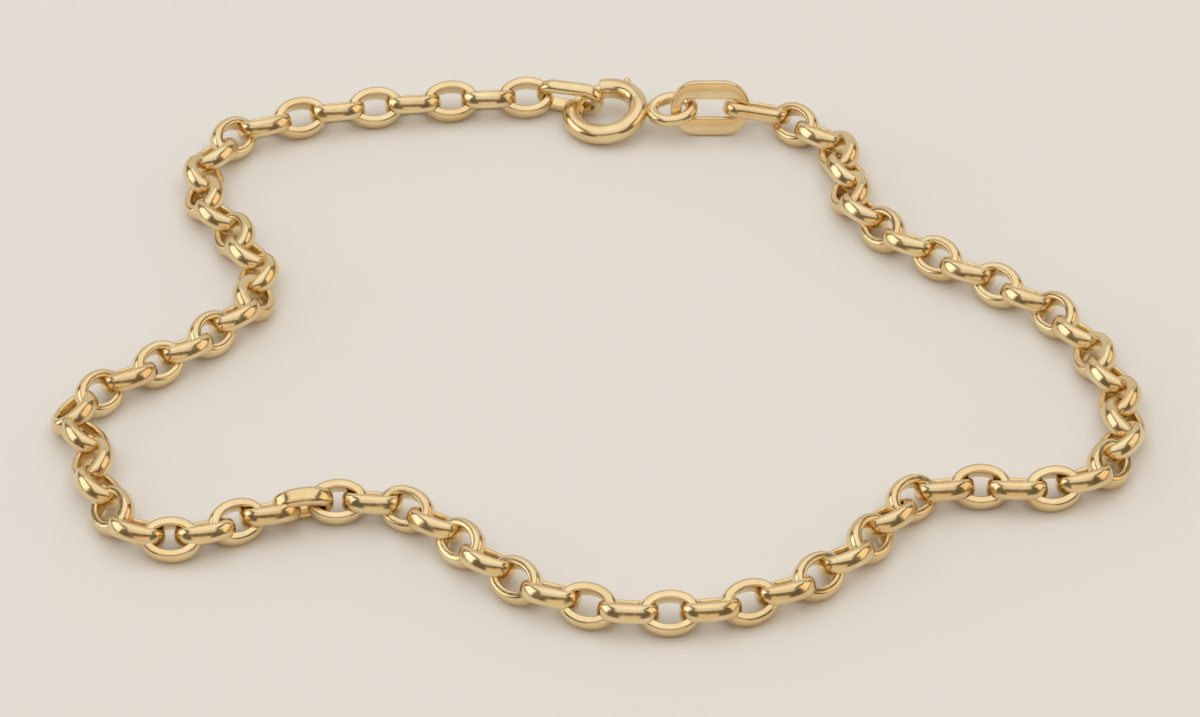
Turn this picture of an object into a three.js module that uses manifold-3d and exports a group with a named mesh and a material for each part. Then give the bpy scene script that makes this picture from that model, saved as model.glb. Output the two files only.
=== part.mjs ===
// Link bracelet: a closed loop of oval belcher links with a bolt ring clasp, lying on a table.
import * as THREE from "three";
import { mergeVertices } from "three/addons/utils/BufferGeometryUtils.js";
import Module from "manifold-3d";

const wasm = await Module();
wasm.setup();

// Chain, in millimetres and degrees
const LINK_COUNT = 80;
const PITCH = 2.25; // inside length of a link
const LINK_WIDTH = 2.5;
const WIRE = 0.56; // a link's wire, measured across the link
const BAND = 0.95; // the same wire, measured along the link's own axis
const LEAN = 31; // a lying link's face leans this far from level, to right and left in turn
const TURN = 16; // and turns this far from the route, most where the route runs away from the front
const SHIFT = 0.1; // links lie this far to either side of the route in turn, so that they touch
const LINK_SIDES = 10;
const WIRE_SECTION = [
  { out: -0.5, side: 0.36 },
  { out: 0.14, side: 0.5 },
  { out: 0.5, side: 0 },
  { out: 0.14, side: -0.5 },
  { out: -0.5, side: -0.36 },
];
const UPRIGHT_LINK = 46; // stands on its edge, where the chain turns over
const MEETING_LINK = 37; // last link of the right half
const MEETING_GAP = 0.06; // eased off the next link, so that the two halves stay apart

// Route of the chain on the table, clockwise from the second link to the last but one
// spacing is the distance from one link's middle to the next
const ROUTE = [
  { x: 11.7, y: 21.5, spacing: 1.95 },
  { x: 13.9, y: 19.3, spacing: 1.95 },
  { x: 14.6, y: 16.6, spacing: 2.05 },
  { x: 14.8, y: 14.3, spacing: 2.0 },
  { x: 16.4, y: 11.1, spacing: 2.0 },
  { x: 19.5, y: 8.2, spacing: 2.1 },
  { x: 25.9, y: 2.9, spacing: 2.1 },
  { x: 28.0, y: -1.1, spacing: 2.15 },
  { x: 29.1, y: -5.2, spacing: 2.0 },
  { x: 28.9, y: -8.5, spacing: 1.95 },
  { x: 27.7, y: -11.2, spacing: 2.0 },
  { x: 24.6, y: -12.9, spacing: 1.95 },
  { x: 20.7, y: -12.7, spacing: 2.0 },
  { x: 17.2, y: -13.6, spacing: 2.0 },
  { x: 14.8, y: -16.9, spacing: 2.1 },
  { x: 11.9, y: -20.1, spacing: 2.15 },
  { x: 8.0, y: -22.4, spacing: 2.15 },
  { x: 3.7, y: -23.3, spacing: 2.2 },
  { x: -0.6, y: -22.7, spacing: 2.2 },
  { x: -4.5, y: -20.6, spacing: 2.2 },
  { x: -7.6, y: -17.4, spacing: 2.15 },
  { x: -10.6, y: -14.6, spacing: 2.05 },
  { x: -14.4, y: -14.0, spacing: 1.9 },
  { x: -19.5, y: -15.6, spacing: 1.9 },
  { x: -23.1, y: -17.2, spacing: 1.9 },
  { x: -25.0, y: -16.6, spacing: 2.05 },
  { x: -27.1, y: -13.8, spacing: 2.25 },
  { x: -28.3, y: -9.0, spacing: 2.25 },
  { x: -29.3, y: -6.2, spacing: 2.25 },
  { x: -27.8, y: -4.2, spacing: 2.15 },
  { x: -24.7, y: -1.6, spacing: 2.0 },
  { x: -21.8, y: 1.3, spacing: 2.0 },
  { x: -19.9, y: 4.2, spacing: 2.05 },
  { x: -19.7, y: 6.4, spacing: 2.1 },
  { x: -21.3, y: 10.4, spacing: 2.1 },
  { x: -23.2, y: 13.9, spacing: 2.1 },
  { x: -23.4, y: 16.4, spacing: 2.1 },
  { x: -21.9, y: 20.0, spacing: 2.1 },
  { x: -17.9, y: 22.2, spacing: 2.28 },
  { x: -11.3, y: 23.6, spacing: 2.28 },
  { x: -4.5, y: 24.3, spacing: 2.28 },
  { x: -3.0, y: 24.35, spacing: 2.28 },
];
const ROUTE_STEPS = 40000;

// Bolt ring: angles run counterclockwise round its axis from +X
const RING = { x: 0.32, y: 22.8, z: 1.04 };
const RING_RADIUS = 2.0; // to the middle of the tube
const RING_TILT = 8; // its far side is raised
const RING_ROLL = 8; // and its right side, where the eyelet rests on the end link
const TUBE = 1.2;
const BORE = 0.76;
const BOLT = 0.6;
const MOUTH = { from: 98, to: 158 };
const BORE_END = -22; // the bore runs back to here behind the bolt's tail
const SOCKET_END = 168; // the bolt's tip rests in a socket this deep
const BOLT_TAIL = 40;
const BOLT_TIP = 163;
const TRIGGER = 61;
const TRIGGER_TRAVEL = 30;
const TRIGGER_WIDTH = 0.3;
const TRIGGER_REACH = 2.75;
const KNOB = 0.5;
const SLOT_GAP = 0.1; // round the trigger's stem
const EYELET = { angle: -6, length: 3.1, width: 2.6, wire: 0.62, sunk: 0.1 };
const EYELET_SIDES = 12;
const STEP = 12; // degrees between the sections of a curved rod
const ROD_SIDES = 10;
const OVERRUN = 1; // degrees a bore is cut past the end of the tube

// End link: a flat stamped oval, leaning toward the near side
const END = { x: 6.6, y: 22.25, length: 4.75, width: 3.4, corner: 1.6, thickness: 0.42, lean: 74 };
const END_HOLE = { length: 3.4, width: 1.15, corner: 0.4 };
const END_ARC = 5; // segments in each quarter of its outline

// The first link is held in the end link and the last on the bolt, and both are longer than the others
const FIRST_HOLD = { x: 7.95, y: 22.35, z: 1.6, lean: -15 };
const LAST_HOLD = { x: -0.45, y: 23.6, z: 1.31, lean: -70 };
const HELD_BITE = 0.06; // they press this far into the next link, so that they touch

const rad = THREE.MathUtils.degToRad;
const vec = (x, y, z) => new THREE.Vector3(x, y, z);

// A geometry as a manifold-3d solid
function solid(geometry) {
  const bare = geometry.clone().deleteAttribute("normal").deleteAttribute("uv");
  const merged = mergeVertices(bare, 1e-4);
  return new wasm.Manifold(
    new wasm.Mesh({
      numProp: 3,
      vertProperties: merged.attributes.position.array,
      triVerts: new Uint32Array(merged.index.array),
    }),
  );
}

// A solid skinned over rings of points, closed on itself or capped at its two ends
function skin(rings, closed) {
  const count = rings[0].length;
  const faces = [];
  const spans = closed ? rings.length : rings.length - 1;
  for (let i = 0; i < spans; i++) {
    const next = (i + 1) % rings.length;
    for (let j = 0; j < count; j++) {
      const k = (j + 1) % count;
      const [a, b, c, d] = [i * count + j, i * count + k, next * count + j, next * count + k];
      faces.push(a, b, c, b, d, c);
    }
  }
  if (!closed) {
    const end = (rings.length - 1) * count;
    for (let j = 1; j < count - 1; j++) faces.push(0, j + 1, j, end, end + j, end + j + 1);
  }
  const geometry = new THREE.BufferGeometry().setFromPoints(rings.flat());
  return solid(geometry.setIndex(faces));
}

// Rings of points round an oval wire with round ends, whose facets touch the true oval
function ovalRings(length, width, sides, section) {
  const facet = (2 * Math.PI) / sides;
  const stretch = 1 / Math.cos(facet / 2);
  return Array.from({ length: sides }, (_, i) => {
    const turn = (i + 0.5) * facet;
    const out = vec(Math.cos(turn), Math.sin(turn), 0);
    const centre = vec((Math.sign(out.x) * (length - width)) / 2, 0, 0);
    return section.map((p) => {
      const reach = (width / 2 + p.out) * stretch;
      return centre.clone().addScaledVector(out, reach).setZ(p.side);
    });
  });
}

// A round section, as distances out from the wire's middle and to its side
function roundSection(diameter, sides) {
  return Array.from({ length: sides }, (_, i) => {
    const turn = -(i / sides) * 2 * Math.PI;
    return { out: (diameter / 2) * Math.cos(turn), side: (diameter / 2) * Math.sin(turn) };
  });
}

// Chain
function linkRings(inside, extra) {
  const section = WIRE_SECTION.map((p) => ({ out: p.out * (WIRE + extra), side: p.side * (BAND + extra) }));
  return ovalRings(inside + WIRE, LINK_WIDTH - WIRE, LINK_SIDES, section);
}
const LINK_RINGS = linkRings(PITCH, 0);

// The frame of a link: along the chain, its face leaning to the right of the way ahead
function linkFrame(along, lean) {
  const right = vec(along.y, -along.x, 0).normalize();
  const up = vec(0, 0, 0).crossVectors(right, along);
  const normal = up.multiplyScalar(Math.cos(rad(lean))).addScaledVector(right, Math.sin(rad(lean)));
  const across = vec(0, 0, 0).crossVectors(normal, along);
  return new THREE.Matrix4().makeBasis(along, across, normal);
}

// Even links lean right and odd ones left, and the other way after the upright link
function linkLean(i) {
  if (i === UPRIGHT_LINK) return 90;
  return (i % 2 === 0) === i < UPRIGHT_LINK ? LEAN : -LEAN;
}

// Height of a link's middle when it rests on the table
function restHeight(lean) {
  const frame = linkFrame(vec(1, 0, 0), lean);
  return Math.max(...LINK_RINGS.flat().map((p) => -p.clone().applyMatrix4(frame).z));
}

// Middles of the links on the route
function routeMiddles() {
  const curve = new THREE.CatmullRomCurve3(ROUTE.map((p) => vec(p.x, p.y, p.spacing)));
  const samples = curve.getPoints(ROUTE_STEPS);
  const places = samples.map((p) => vec(p.x, p.y, 0));
  const middles = [places[0]];
  let index = 0;
  while (middles.length < LINK_COUNT - 2) {
    const last = middles.at(-1);
    while (index < ROUTE_STEPS && places[index].distanceTo(last) < samples[index].z) index++;
    middles.push(places[index]);
  }
  return middles;
}

// A link reaching from what holds it round the near end of the next link
function heldLink(hold, toward, side) {
  const from = vec(hold.x, hold.y, hold.z);
  const along = toward.clone().sub(from);
  const inside = along.length() - HELD_BITE;
  along.normalize();
  const middle = from.addScaledVector(along, inside / 2);
  const place = linkFrame(along.multiplyScalar(side), hold.lean).setPosition(middle);
  return link(linkRings(inside, 0), place);
}

// The place of every link on the route
function linkPlaces() {
  const middles = routeMiddles();
  return middles.map((middle, k) => {
    const lean = linkLean(k + 2);
    const before = middles[Math.max(k - 1, 0)];
    const after = middles[Math.min(k + 1, middles.length - 1)];
    const ahead = after.clone().sub(before).normalize();
    const left = vec(-ahead.y, ahead.x, 0);
    const hand = Math.sign(lean);
    const at = middle.clone().addScaledVector(left, hand * SHIFT).setZ(restHeight(lean));
    ahead.applyAxisAngle(vec(0, 0, 1), rad(TURN * hand * ahead.y));
    return linkFrame(ahead, lean).setPosition(at);
  });
}

function link(rings, place) {
  return skin(rings.map((ring) => ring.map((p) => p.clone().applyMatrix4(place))), true);
}

function chain(links) {
  return links.reduce((body, next) => body.add(next));
}

// Clasp, made flat round the ring's axis and then laid in place
const ringPlace = new THREE.Matrix4()
  .makeRotationX(rad(RING_TILT))
  .multiply(new THREE.Matrix4().makeRotationY(rad(-RING_ROLL)))
  .setPosition(RING.x, RING.y, RING.z);

// A rod or bar bent round the ring's axis, from one angle to another
function bentRod(from, to, section) {
  const steps = Math.ceil((to - from) / STEP);
  const rings = Array.from({ length: steps + 1 }, (_, i) => {
    const turn = rad(from + ((to - from) * i) / steps);
    return section.map((p) => {
      const reach = RING_RADIUS + p.out;
      return vec(reach * Math.cos(turn), reach * Math.sin(turn), p.side).applyMatrix4(ringPlace);
    });
  });
  return skin(rings, false);
}

const barSection = (inner, outer, width) => [
  { out: inner, side: -width / 2 },
  { out: inner, side: width / 2 },
  { out: outer, side: width / 2 },
  { out: outer, side: -width / 2 },
];

function eyelet() {
  const reach = RING_RADIUS + TUBE / 2 - EYELET.sunk + EYELET.length / 2;
  const place = new THREE.Matrix4()
    .makeRotationZ(rad(EYELET.angle))
    .multiply(new THREE.Matrix4().makeTranslation(reach, 0, 0))
    .premultiply(ringPlace);
  const rings = ovalRings(
    EYELET.length - EYELET.wire,
    EYELET.width - EYELET.wire,
    EYELET_SIDES,
    roundSection(EYELET.wire, WIRE_SECTION.length),
  );
  return skin(rings.map((ring) => ring.map((p) => p.applyMatrix4(place))), true);
}

function boltRing() {
  const stem = THREE.MathUtils.radToDeg((TRIGGER_WIDTH / 2 + SLOT_GAP) / RING_RADIUS);
  const bore = roundSection(BORE, ROD_SIDES);
  const slot = barSection(0, TUBE, TRIGGER_WIDTH + 2 * SLOT_GAP);
  return bentRod(MOUTH.to - 360, MOUTH.from, roundSection(TUBE, ROD_SIDES))
    .add(eyelet())
    .subtract(bentRod(BORE_END, MOUTH.from + OVERRUN, bore))
    .subtract(bentRod(MOUTH.to - OVERRUN, SOCKET_END, bore))
    .subtract(bentRod(TRIGGER - TRIGGER_TRAVEL - stem, TRIGGER + stem, slot));
}

function bolt() {
  const half = THREE.MathUtils.radToDeg(TRIGGER_WIDTH / 2 / RING_RADIUS);
  const stem = barSection(0, TRIGGER_REACH - RING_RADIUS, TRIGGER_WIDTH);
  const knob = new THREE.SphereGeometry(KNOB / 2, ROD_SIDES, ROD_SIDES / 2).translate(TRIGGER_REACH, 0, 0);
  knob.rotateZ(rad(TRIGGER)).applyMatrix4(ringPlace);
  return bentRod(BOLT_TAIL, BOLT_TIP, roundSection(BOLT, ROD_SIDES))
    .add(bentRod(TRIGGER - half, TRIGGER + half, stem))
    .add(solid(knob));
}

// A straight-sided outline with round corners
function roundedOutline(path, length, width, corner) {
  const [x, y] = [length / 2 - corner, width / 2 - corner];
  path.absarc(x, y, corner, 0, Math.PI / 2);
  path.absarc(-x, y, corner, Math.PI / 2, Math.PI);
  path.absarc(-x, -y, corner, Math.PI, 1.5 * Math.PI);
  path.absarc(x, -y, corner, 1.5 * Math.PI, 2 * Math.PI);
  return path;
}

function endLink() {
  const outline = roundedOutline(new THREE.Shape(), END.length, END.width, END.corner);
  outline.holes.push(roundedOutline(new THREE.Path(), END_HOLE.length, END_HOLE.width, END_HOLE.corner));
  const plate = new THREE.ExtrudeGeometry(outline, {
    depth: END.thickness,
    bevelEnabled: false,
    curveSegments: END_ARC,
  });
  plate.translate(0, 0, -END.thickness / 2).rotateX(rad(END.lean));
  plate.computeBoundingBox();
  return solid(plate.translate(END.x, END.y, -plate.boundingBox.min.z));
}

const GOLD = { color: 0xe2bd6e, roughness: 0.18, metalness: 1 };

// A named mesh of a solid, in gold
function goldMesh(name, body) {
  const made = body.getMesh();
  const geometry = new THREE.BufferGeometry();
  geometry.setAttribute("position", new THREE.BufferAttribute(made.vertProperties, 3));
  geometry.setIndex(new THREE.BufferAttribute(made.triVerts, 1));
  geometry.computeVertexNormals();
  const mesh = new THREE.Mesh(geometry, new THREE.MeshStandardMaterial(GOLD));
  mesh.name = name;
  return mesh;
}

const places = linkPlaces();
const first = vec(-PITCH / 2, 0, 0).applyMatrix4(places[0]);
const last = vec(PITCH / 2, 0, 0).applyMatrix4(places.at(-1));
const links = [
  heldLink(FIRST_HOLD, first, 1),
  ...places.map((place) => link(LINK_RINGS, place)),
  heldLink(LAST_HOLD, last, -1),
];
const rightHalf = chain(links.slice(0, MEETING_LINK));
const eased = link(linkRings(PITCH, 2 * MEETING_GAP), places[MEETING_LINK - 2]);
const leftHalf = chain(links.slice(MEETING_LINK)).subtract(eased);
const bracelet = new THREE.Group();
bracelet.name = "link_bracelet";
bracelet.add(
  goldMesh("chain_right", rightHalf),
  goldMesh("chain_left", leftHalf),
  goldMesh("bolt_ring", boltRing()),
  goldMesh("bolt", bolt()),
  goldMesh("end_link", endLink()),
);

// The origin is under the middle of the loop
const middle = new THREE.Box3().setFromObject(bracelet).getCenter(vec(0, 0, 0));
bracelet.children.forEach((mesh) => mesh.geometry.translate(-middle.x, -middle.y, 0));

export default bracelet;
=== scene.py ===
from math import copysign, cos, degrees, hypot, pi, radians, sin

import bpy
import numpy as np
from mathutils import Matrix, Vector


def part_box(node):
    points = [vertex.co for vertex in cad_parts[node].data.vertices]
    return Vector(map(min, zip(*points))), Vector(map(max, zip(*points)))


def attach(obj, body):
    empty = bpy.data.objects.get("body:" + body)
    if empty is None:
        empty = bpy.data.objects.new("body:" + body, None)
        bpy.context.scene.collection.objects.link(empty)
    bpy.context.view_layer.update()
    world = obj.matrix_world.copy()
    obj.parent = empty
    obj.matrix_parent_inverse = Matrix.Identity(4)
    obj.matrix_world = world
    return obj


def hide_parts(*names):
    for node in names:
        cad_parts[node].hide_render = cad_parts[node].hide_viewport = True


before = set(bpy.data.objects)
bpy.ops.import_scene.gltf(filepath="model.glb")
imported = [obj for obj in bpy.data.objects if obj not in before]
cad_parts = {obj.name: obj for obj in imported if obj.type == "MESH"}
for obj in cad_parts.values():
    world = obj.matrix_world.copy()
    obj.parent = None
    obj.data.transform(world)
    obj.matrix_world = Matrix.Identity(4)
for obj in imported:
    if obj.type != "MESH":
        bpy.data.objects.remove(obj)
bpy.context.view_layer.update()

MM = 0.001
BODY = "bracelet"

# Chain, in millimetres and degrees: the part's route, with links a little fuller than its faceted ones
LINK_COUNT = 80
PITCH = 2.25  # inside length of a link
LINK = {"width": 2.55, "wire": 0.58, "band": 1.03}  # wire is the depth of its metal, band the breadth
HELD_LINK = {"width": 2.35, "wire": 0.54, "band": 0.85}  # the first and the last link
LEAN = 33  # from level, to the right and to the left in turn
TURN = 16  # out of the route, where that runs straight to the front or the back
STEEP_LINK = 46  # stands more steeply, where the chain turns over
STEEP_LEAN = 62
MEETING_LINK = 37  # the last one of the right half
# The first link hangs in the end link and the last on the bolt.
# Both reach to the inside end of the next link, moved by aim
FIRST_HOLD = {"x": 7.9, "y": 22.4, "z": 1.6, "lean": -25, "aim": (0, 0, 0)}
LAST_HOLD = {"x": -0.3, "y": 23.55, "z": 1.31, "lean": -74, "aim": (0, 0.1, 0.12)}
HELD_BITE = 0.06  # how far a held link is shorter inside than its reach

# Link section: flat inside with rounded edges, and domed outside
CROWN = 0.3  # height of the dome
FULLNESS = 0.8  # below 1 the dome has fuller shoulders
EDGE = 0.12
DOME_STEPS = 9
CORNER_STEPS = 4
LINK_STEPS = 56

# Route clockwise from the second link to the last but one: x, y and the distance from link to link
ROUTE = [
    (11.7, 21.5, 1.95),
    (13.9, 19.3, 1.95),
    (14.6, 16.6, 2.05),
    (14.8, 14.3, 2.0),
    (16.4, 11.1, 2.0),
    (19.5, 8.2, 2.1),
    (25.9, 2.9, 2.1),
    (28.0, -1.1, 2.15),
    (29.1, -5.2, 2.0),
    (28.9, -8.5, 1.95),
    (27.7, -11.2, 2.0),
    (24.6, -12.9, 1.95),
    (20.7, -12.7, 2.0),
    (17.2, -13.6, 2.0),
    (14.8, -16.9, 2.1),
    (11.9, -20.1, 2.15),
    (8.0, -22.4, 2.15),
    (3.7, -23.3, 2.2),
    (-0.6, -22.7, 2.2),
    (-4.5, -20.6, 2.2),
    (-7.6, -17.4, 2.15),
    (-10.6, -14.6, 2.05),
    (-14.4, -14.0, 1.9),
    (-19.5, -15.6, 1.9),
    (-23.1, -17.2, 1.9),
    (-25.0, -16.6, 2.05),
    (-27.1, -13.8, 2.25),
    (-28.3, -9.0, 2.25),
    (-29.3, -6.2, 2.25),
    (-27.8, -4.2, 2.15),
    (-24.7, -1.6, 2.0),
    (-21.8, 1.3, 2.0),
    (-19.9, 4.2, 2.05),
    (-19.7, 6.4, 2.1),
    (-21.3, 10.4, 2.1),
    (-23.2, 13.9, 2.1),
    (-23.4, 16.4, 2.1),
    (-21.9, 20.0, 2.1),
    (-17.9, 22.2, 2.28),
    (-11.3, 23.6, 2.28),
    (-4.5, 24.3, 2.28),
    (-3.0, 24.35, 2.28),
]
ROUTE_STEPS = 40000

# Bolt ring, in the part's place: angles run counterclockwise round its axis from +X
RING = (0.32, 22.8, 1.04)
RING_RADIUS = 2.0  # to the middle of the tube
RING_TILT = 8  # raises the far side
RING_ROLL = 8  # raises the right side
TUBE = 1.2
BORE = 0.76
BOLT = 0.64
MOUTH = (98, 158)
SOCKET = 10  # depth of the hole for the bolt's tip, as an angle
BORE_END = -22
BOLT_TAIL = 40
BOLT_TIP = 163
TRIGGER = 61  # its angle with the bolt shut
TRIGGER_TRAVEL = 30
TRIGGER_WIDTH = 0.3
TRIGGER_REACH = 2.75  # from the ring's axis to the middle of the knob
KNOB = 0.5
KNOB_ARC = (45, 176.4)  # of the knob's outline, from the stem to the top
SLOT_GAP = 0.1
EYELET = {"angle": -6, "length": 3.14, "width": 2.76, "wire": 0.74, "sunk": 0.1}
ROUND_STEPS = 32
BEND_STEP = 3
ROUND_EDGE = 0.08
TIP_STEPS = 6
SLOT_STEPS = 13

# End link: a flat oval with rounded edges
END = {"x": 6.6, "y": 22.25, "length": 4.75, "width": 3.4, "corner": 1.6, "thickness": 0.42, "lean": 74}
END_HOLE = {"length": 3.4, "width": 1.15, "corner": 0.4}
PLATE_EDGE = 0.13
OUTLINE_STEPS = 12

# Polished gold: two tones and a varying polish, with faint polishing marks
GOLD_TONES = ((0.83, 0.63, 0.35, 1), (0.9, 0.74, 0.45, 1))
TONE_STOPS = (0.35, 0.65)
TONE_SCALE = 420
TONE_DETAIL = 3
POLISH = (0.13, 0.24)
MARK_RANGE = (0.3, 0.7)
MARK_SCALE = 3200
MARK_DETAIL = 2
MARK_STRENGTH = 0.15
MARK_DEPTH = 0.00002

# Camera, in millimetres and degrees
ELEVATION = 38
DISTANCE = 300
LENS = 158.4
SENSOR = 36
CLIP_START = 10

# Floor and light, in metres and watts
FLOOR_HALF = 1.5
FLOOR_COLOR = (0.95, 0.945, 0.935, 1)
FLOOR_ROUGHNESS = 0.7
WHITE = (1, 0.98, 0.95)
PEACH = (1, 0.8, 0.55)
WORLD_STRENGTH = 0.15
# Panels round the object with a dark gap at the camera's height: name, place, size, power and colour
LIGHTS = [
    ("overhead", (0, 0.12, 0.65), (1.1, 0.9), 2.8, WHITE),
    ("back", (0, 0.75, 0.33), (1.6, 0.55), 1.5, WHITE),
    ("front_high", (0, -0.37, 0.47), (1.0, 0.34), 0.75, WHITE),
    ("front_low", (0, -0.75, 0.14), (0.8, 0.26), 0.45, PEACH),
    ("left", (-0.68, 0.05, 0.27), (0.6, 0.44), 1.1, WHITE),
    ("right", (0.68, 0.05, 0.27), (0.6, 0.44), 0.8, PEACH),
]

# Where the route's origin lies in the part's frame, found from the end link's box
low, high = (np.array(corner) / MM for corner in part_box("end_link"))
ORIGIN = Vector(((low[0] + high[0]) / 2 - END["x"], (low[1] + high[1]) / 2 - END["y"], 0))
TO_PART = Matrix.Diagonal((MM, MM, MM, 1)) @ Matrix.Translation(ORIGIN)
TARGET = ORIGIN * MM


class Form:
    """Points and faces of one piece, gathered from rings of points."""

    def __init__(self):
        self.points = []
        self.faces = []

    def skin(self, rings, closed):
        """Add a skin over rings, closed on itself or capped at its two ends."""
        start = len(self.points)
        count = len(rings[0])
        for ring in rings:
            self.points.extend(ring)
        spans = len(rings) if closed else len(rings) - 1
        for i in range(spans):
            a = start + i * count
            b = start + (i + 1) % len(rings) * count
            for j in range(count):
                k = (j + 1) % count
                self.faces.append((a + j, a + k, b + k, b + j))
        if not closed:
            end = start + (len(rings) - 1) * count
            self.faces.append(tuple(range(start + count - 1, start - 1, -1)))
            self.faces.append(tuple(range(end, end + count)))

    def mesh(self, name, place):
        """A mesh of the form, moved to a place."""
        mesh = bpy.data.meshes.new(name)
        mesh.from_pydata([tuple(place @ Vector(p)) for p in self.points], [], self.faces)
        return mesh

    def piece(self, name, place, body, node, material):
        """Add the form as a smooth piece that stands for a node and rides on a body."""
        mesh = self.mesh(name, TO_PART @ place)
        mesh.validate()
        mesh.update()
        mesh.polygons.foreach_set("use_smooth", [True] * len(mesh.polygons))
        mesh.materials.append(material)
        piece = bpy.data.objects.new(name, mesh)
        bpy.context.collection.objects.link(piece)
        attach(piece, body)
        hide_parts(node)


def moved(rings, place):
    return [[place @ p for p in ring] for ring in rings]


# Link shapes
def link_section(wire, band):
    """Points round the wire, as (out, side) from its middle."""
    half = band / 2
    inside = -wire / 2
    shoulder = wire / 2 - CROWN
    dome = []
    for t in np.linspace(-pi / 2, pi / 2, 2 * DOME_STEPS + 1):
        side = half * copysign(abs(sin(t)) ** FULLNESS, t)
        dome.append((shoulder + CROWN * cos(t), side))
    turns = np.linspace(0, pi / 2, CORNER_STEPS + 1)
    near = [(inside + EDGE - EDGE * sin(t), half - EDGE + EDGE * cos(t)) for t in turns]
    far = [(out, -side) for out, side in reversed(near)]
    return (dome + near + far)[::-1]


def section_ring(at, outward, section):
    """Section points set up at one place of a centre line."""
    return [at + outward * out + Vector((0, 0, side)) for out, side in section]


LINK_TURNS = [(i + 0.5) * 2 * pi / LINK_STEPS for i in range(LINK_STEPS)]


def oval_rings(length, width, section):
    """Rings of section points round an elliptical centre line."""
    rings = []
    for turn in LINK_TURNS:
        at = Vector((length / 2 * cos(turn), width / 2 * sin(turn), 0))
        outward = Vector((width * cos(turn), length * sin(turn), 0)).normalized()
        rings.append(section_ring(at, outward, section))
    return rings


def long_rings(length, width, section):
    """Rings of section points round a centre line with straight sides and round ends."""
    rings = []
    for turn in LINK_TURNS:
        outward = Vector((cos(turn), sin(turn), 0))
        at = Vector((copysign((length - width) / 2, outward.x), 0, 0)) + outward * width / 2
        rings.append(section_ring(at, outward, section))
    return rings


def link_rings(shape, link, inside):
    """Rings of a link with a given inside length."""
    wire = link["wire"]
    return shape(inside + wire, link["width"] - wire, link_section(wire, link["band"]))


LINK_RINGS = link_rings(oval_rings, LINK, PITCH)


# Link places, on the part's route
def link_frame(along, lean):
    """Axes of a link that lies along a direction and leans to the right of it."""
    right = Vector((along.y, -along.x, 0)).normalized()
    up = right.cross(along)
    normal = up * cos(radians(lean)) + right * sin(radians(lean))
    across = normal.cross(along)
    return Matrix((along, across, normal)).transposed().to_4x4()


def link_lean(i):
    """Lean of link i, counted from the end link."""
    if i == STEEP_LINK:
        return STEEP_LEAN
    return LEAN if (i % 2 == 0) == (i < STEEP_LINK) else -LEAN


def rest_height(lean):
    """Height of the middle of a link that rests on the table."""
    turned = link_frame(Vector((1, 0, 0)), lean)
    return max(-(turned @ p).z for ring in LINK_RINGS for p in ring)


def route_samples():
    """Points of a centripetal Catmull-Rom curve through the route."""
    rows = np.array(ROUTE)
    rows = np.vstack([2 * rows[0] - rows[1], rows, 2 * rows[-1] - rows[-2]])
    at = np.linspace(0, len(ROUTE) - 1, ROUTE_STEPS + 1)
    first = np.minimum(at.astype(int), len(ROUTE) - 2)
    t = (at - first)[:, None]
    p0, p1, p2, p3 = (rows[first + k] for k in range(4))
    pairs = ((p0, p1), (p1, p2), (p2, p3))
    d0, d1, d2 = (np.sqrt(np.linalg.norm(b - a, axis=1))[:, None] for a, b in pairs)
    m1 = ((p1 - p0) / d0 - (p2 - p0) / (d0 + d1) + (p2 - p1) / d1) * d1
    m2 = ((p2 - p1) / d1 - (p3 - p1) / (d1 + d2) + (p3 - p2) / d2) * d1
    return p1 + m1 * t + (3 * (p2 - p1) - 2 * m1 - m2) * t**2 + (2 * (p1 - p2) + m1 + m2) * t**3


def route_middles():
    """Middles of the links on the route, found by stepping along it."""
    samples = route_samples().tolist()
    middles = [Vector((*samples[0][:2], 0))]
    index = 0
    while len(middles) < LINK_COUNT - 2:
        last = middles[-1]
        while index < ROUTE_STEPS:
            x, y, spacing = samples[index]
            if hypot(x - last.x, y - last.y) >= spacing:
                break
            index += 1
        middles.append(Vector((*samples[index][:2], 0)))
    return middles


def held_link(hold, goal, side):
    """Rings of a longer link that reaches from what holds it to the next link."""
    start = Vector((hold["x"], hold["y"], hold["z"]))
    reach = goal + Vector(hold["aim"]) - start
    along = reach.normalized()
    inside = reach.length - HELD_BITE
    place = Matrix.Translation(start + along * inside / 2) @ link_frame(along * side, hold["lean"])
    return moved(link_rings(long_rings, HELD_LINK, inside), place)


def chain_links():
    """Rings of every link, from the end link to the bolt ring."""
    middles = route_middles()
    heights = {lean: rest_height(lean) for lean in (LEAN, -LEAN, STEEP_LEAN)}
    places = []
    for k, middle in enumerate(middles):
        lean = link_lean(k + 2)
        ahead = (middles[min(k + 1, len(middles) - 1)] - middles[max(k - 1, 0)]).normalized()
        hand = copysign(1, lean)
        along = Matrix.Rotation(radians(TURN * hand * ahead.y), 3, "Z") @ ahead
        at = Vector((middle.x, middle.y, heights[lean]))
        places.append(Matrix.Translation(at) @ link_frame(along, lean))
    first = places[0] @ Vector((-PITCH / 2, 0, 0))
    last = places[-1] @ Vector((PITCH / 2, 0, 0))
    lying = [moved(LINK_RINGS, place) for place in places]
    return [held_link(FIRST_HOLD, first, 1), *lying, held_link(LAST_HOLD, last, -1)]


def chain(name, node, links, material):
    form = Form()
    for rings in links:
        form.skin(rings, True)
    form.piece(name, Matrix(), BODY, node, material)


# Clasp, made flat round the ring's axis
RING_PLACE = (
    Matrix.Translation(RING)
    @ Matrix.Rotation(radians(RING_TILT), 4, "X")
    @ Matrix.Rotation(radians(-RING_ROLL), 4, "Y")
)


def bent_ring(angle, radius):
    """A circle of points round the tube's middle line at one angle."""
    turn = radians(angle)
    ring = []
    for k in range(ROUND_STEPS):
        a = -2 * pi * k / ROUND_STEPS
        reach = RING_RADIUS + radius * cos(a)
        ring.append(Vector((reach * cos(turn), reach * sin(turn), radius * sin(a))))
    return ring


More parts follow.
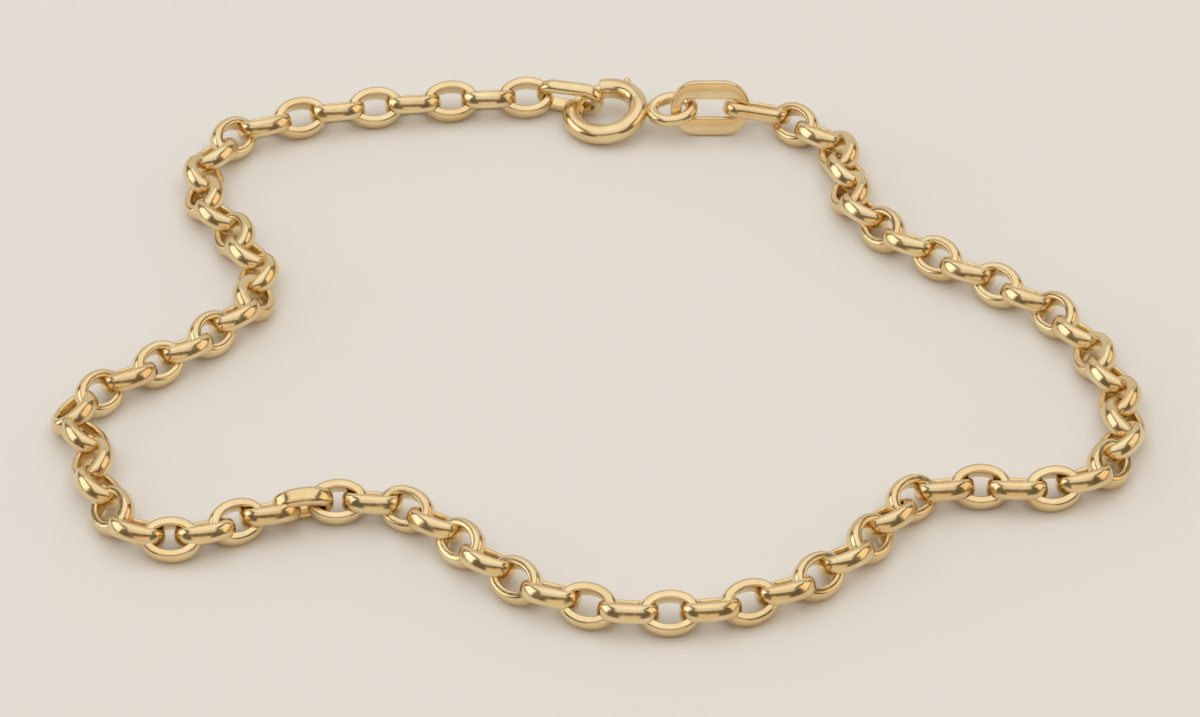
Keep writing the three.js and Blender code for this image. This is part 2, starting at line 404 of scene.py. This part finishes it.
def to_degrees(length):
    """Angle that a length takes up along the tube's middle line."""
    return degrees(length / RING_RADIUS)


def rounded_end(angle, radius, edge, way):
    """Angle and radius of each ring on a rounded end, from the flat end inward."""
    turns = np.linspace(0, pi / 2, TIP_STEPS)
    return [
        (angle + way * to_degrees(edge * (1 - sin(t))), radius - edge * (1 - cos(t)))
        for t in reversed(turns)
    ]


def tube_profile():
    """Angle and radius of each ring of the tube, from the bottom of one bore to the other's."""
    start, end = MOUTH[1] - 360, MOUTH[0]
    bore = BORE / 2
    inner = [(start + SOCKET, bore), (start, bore)]
    first = rounded_end(start, TUBE / 2, ROUND_EDGE, 1)
    angles = np.arange(first[-1][0] + BEND_STEP, end - BEND_STEP, BEND_STEP)
    middle = [(a, TUBE / 2) for a in angles]
    last = rounded_end(end, TUBE / 2, ROUND_EDGE, -1)[::-1]
    hollow = [(a, bore) for a in np.arange(end, BORE_END, -BEND_STEP)]
    return inner + first + middle + last + hollow


def slot_cutter():
    """A bent bar over the trigger's way through the tube's outer wall."""
    half = TRIGGER_WIDTH / 2 + SLOT_GAP
    spare = to_degrees(half)
    inner, outer = RING_RADIUS + BOLT / 2, RING_RADIUS + TUBE
    corners = ((inner, -half), (inner, half), (outer, half), (outer, -half))
    rings = []
    for angle in np.linspace(TRIGGER - TRIGGER_TRAVEL - spare, TRIGGER + spare, SLOT_STEPS):
        turn = radians(angle)
        rings.append([Vector((r * cos(turn), r * sin(turn), z)) for r, z in corners])
    form = Form()
    form.skin(rings, False)
    return form


def cut(form, cutter):
    """A form less a cutter."""
    meshes = (form.mesh("form", Matrix()), cutter.mesh("form", Matrix()))
    body, tool = (bpy.data.objects.new("form", mesh) for mesh in meshes)
    for item in (body, tool):
        bpy.context.collection.objects.link(item)
    less = body.modifiers.new("slot", "BOOLEAN")
    less.operation = "DIFFERENCE"
    less.solver = "EXACT"
    less.object = tool
    done = body.evaluated_get(bpy.context.evaluated_depsgraph_get()).to_mesh()
    result = Form()
    result.points = [v.co.copy() for v in done.vertices]
    result.faces = [tuple(f.vertices) for f in done.polygons]
    for item, mesh in zip((body, tool), meshes):
        bpy.data.objects.remove(item)
        bpy.data.meshes.remove(mesh)
    return result


def eyelet_rings():
    """Rings of the eyelet, an oval of round wire that is sunk into the tube."""
    length, width, wire = EYELET["length"], EYELET["width"], EYELET["wire"]
    reach = RING_RADIUS + TUBE / 2 - EYELET["sunk"] + length / 2
    place = Matrix.Rotation(radians(EYELET["angle"]), 4, "Z") @ Matrix.Translation((reach, 0, 0))
    turns = np.linspace(0, -2 * pi, ROUND_STEPS, endpoint=False)
    section = [(wire / 2 * cos(a), wire / 2 * sin(a)) for a in turns]
    return moved(oval_rings(length - wire, width - wire, section), place)


def bolt_ring(material):
    tube = Form()
    tube.skin([bent_ring(a, r) for a, r in tube_profile()], False)
    form = cut(tube, slot_cutter())
    form.skin(eyelet_rings(), True)
    form.piece("bolt_ring_tube", RING_PLACE, BODY, "bolt_ring", material)


def trigger_rings():
    """Rings of the trigger, a stem with a round knob."""
    stem, ball = TRIGGER_WIDTH / 2, KNOB / 2
    # distance out from the ring's axis and radius of each ring
    profile = [(RING_RADIUS, stem), (TRIGGER_REACH - ball, stem)]
    for t in np.radians(np.linspace(*KNOB_ARC, 2 * TIP_STEPS)):
        profile.append((TRIGGER_REACH - ball * cos(t), ball * sin(t)))
    turns = np.linspace(0, 2 * pi, ROUND_STEPS, endpoint=False)
    rings = [[Vector((out, r * cos(a), r * sin(a))) for a in turns] for out, r in profile]
    return moved(rings, Matrix.Rotation(radians(TRIGGER), 4, "Z"))


def bolt(material):
    radius = BOLT / 2
    tip = rounded_end(BOLT_TIP, radius, ROUND_EDGE, -1)[::-1]
    rod = [(a, radius) for a in np.arange(BOLT_TAIL, tip[0][0], BEND_STEP)]
    form = Form()
    form.skin([bent_ring(a, r) for a, r in rod + tip], False)
    form.skin(trigger_rings(), False)
    form.piece("bolt_and_trigger", RING_PLACE, "bolt", "bolt", material)


# End link
def outline(size, grow, z):
    """A loop of points round an oval with round corners, widened or narrowed all round."""
    corner = size["corner"] + grow
    x = size["length"] / 2 + grow - corner
    y = size["width"] / 2 + grow - corner
    loop = []
    for sx, sy, start in ((1, 1, 0), (-1, 1, 90), (-1, -1, 180), (1, -1, 270)):
        for t in np.radians(np.linspace(start, start + 90, OUTLINE_STEPS)):
            loop.append(Vector((sx * x + corner * cos(t), sy * y + corner * sin(t), z)))
    return loop


def end_link(material):
    half = END["thickness"] / 2
    turns = np.linspace(0, pi / 2, CORNER_STEPS + 1)
    # each rounded edge in turn: its outline, 1 where it widens or -1, and 1 on the upper face or -1
    edges = ((END, -1, 1), (END_HOLE, 1, 1), (END_HOLE, 1, -1), (END, -1, -1))
    loops = []
    for size, way, face in edges:
        for t in turns if way != face else turns[::-1]:
            grow = way * PLATE_EDGE * (1 - cos(t))
            z = face * (half - PLATE_EDGE * (1 - sin(t)))
            loops.append(outline(size, grow, z))
    form = Form()
    form.skin(loops, True)
    lean = radians(END["lean"])
    height = END["width"] / 2 * sin(lean) + half * cos(lean)
    place = Matrix.Translation((END["x"], END["y"], height)) @ Matrix.Rotation(lean, 4, "X")
    form.piece("end_link_plate", place, BODY, "end_link", material)


# Materials
def noise_node(nodes, links, scale, detail):
    place = nodes.new("ShaderNodeTexCoord")
    noise = nodes.new("ShaderNodeTexNoise")
    noise.inputs["Scale"].default_value = scale
    noise.inputs["Detail"].default_value = detail
    links.new(place.outputs["Object"], noise.inputs["Vector"])
    return noise


def gold_material():
    material = bpy.data.materials.new("polished_gold")
    material.use_nodes = True
    nodes = material.node_tree.nodes
    links = material.node_tree.links
    shader = nodes["Principled BSDF"]
    shader.inputs["Metallic"].default_value = 1
    tone = noise_node(nodes, links, TONE_SCALE, TONE_DETAIL)
    tones = nodes.new("ShaderNodeValToRGB")
    for stop, at, color in zip(tones.color_ramp.elements, TONE_STOPS, GOLD_TONES):
        stop.position = at
        stop.color = color
    links.new(tone.outputs["Fac"], tones.inputs["Fac"])
    links.new(tones.outputs["Color"], shader.inputs["Base Color"])
    marks = noise_node(nodes, links, MARK_SCALE, MARK_DETAIL)
    polish = nodes.new("ShaderNodeMapRange")
    polish.inputs["From Min"].default_value = MARK_RANGE[0]
    polish.inputs["From Max"].default_value = MARK_RANGE[1]
    polish.inputs["To Min"].default_value = POLISH[0]
    polish.inputs["To Max"].default_value = POLISH[1]
    links.new(marks.outputs["Fac"], polish.inputs["Value"])
    links.new(polish.outputs["Result"], shader.inputs["Roughness"])
    bump = nodes.new("ShaderNodeBump")
    bump.inputs["Strength"].default_value = MARK_STRENGTH
    bump.inputs["Distance"].default_value = MARK_DEPTH
    links.new(marks.outputs["Fac"], bump.inputs["Height"])
    links.new(bump.outputs["Normal"], shader.inputs["Normal"])
    return material


def floor_material():
    material = bpy.data.materials.new("pale_floor")
    material.use_nodes = True
    shader = material.node_tree.nodes["Principled BSDF"]
    shader.inputs["Base Color"].default_value = FLOOR_COLOR
    shader.inputs["Roughness"].default_value = FLOOR_ROUGHNESS
    return material


# Stage
def add_floor():
    mesh = bpy.data.meshes.new("floor")
    corners = ((-1, -1), (1, -1), (1, 1), (-1, 1))
    mesh.from_pydata([(x * FLOOR_HALF, y * FLOOR_HALF, 0) for x, y in corners], [], [(0, 1, 2, 3)])
    mesh.materials.append(floor_material())
    floor = bpy.data.objects.new("floor", mesh)
    bpy.context.collection.objects.link(floor)


def facing(direction):
    """Rotation of a camera or a light that looks along a direction."""
    return direction.to_track_quat("-Z", "Y").to_euler()


def add_camera():
    toward = Vector((0, cos(radians(ELEVATION)), -sin(radians(ELEVATION))))
    data = bpy.data.cameras.new("camera")
    data.lens = LENS
    data.sensor_width = SENSOR
    data.sensor_fit = "HORIZONTAL"
    data.clip_start = CLIP_START * MM
    camera = bpy.data.objects.new("camera", data)
    camera.location = TARGET - toward * DISTANCE * MM
    camera.rotation_euler = facing(toward)
    bpy.context.collection.objects.link(camera)
    bpy.context.scene.camera = camera


def add_light(name, place, size, power, color):
    data = bpy.data.lights.new(name, "AREA")
    data.shape = "RECTANGLE"
    data.size, data.size_y = size
    data.energy = power
    data.color = color
    light = bpy.data.objects.new(name, data)
    light.location = place
    light.rotation_euler = facing(TARGET - Vector(place))
    bpy.context.collection.objects.link(light)


def add_world():
    world = bpy.data.worlds.new("studio")
    bpy.context.scene.world = world
    world.use_nodes = True
    background = world.node_tree.nodes["Background"]
    background.inputs["Color"].default_value = (*PEACH, 1)
    background.inputs["Strength"].default_value = WORLD_STRENGTH


# The bracelet and its stage
gold = gold_material()
all_links = chain_links()
chain("chain_right_links", "chain_right", all_links[:MEETING_LINK], gold)
chain("chain_left_links", "chain_left", all_links[MEETING_LINK:], gold)
bolt_ring(gold)
bolt(gold)
end_link(gold)

add_floor()
add_camera()
for light in LIGHTS:
    add_light(*light)
add_world()
bpy.context.scene.view_settings.view_transform = "Standard"
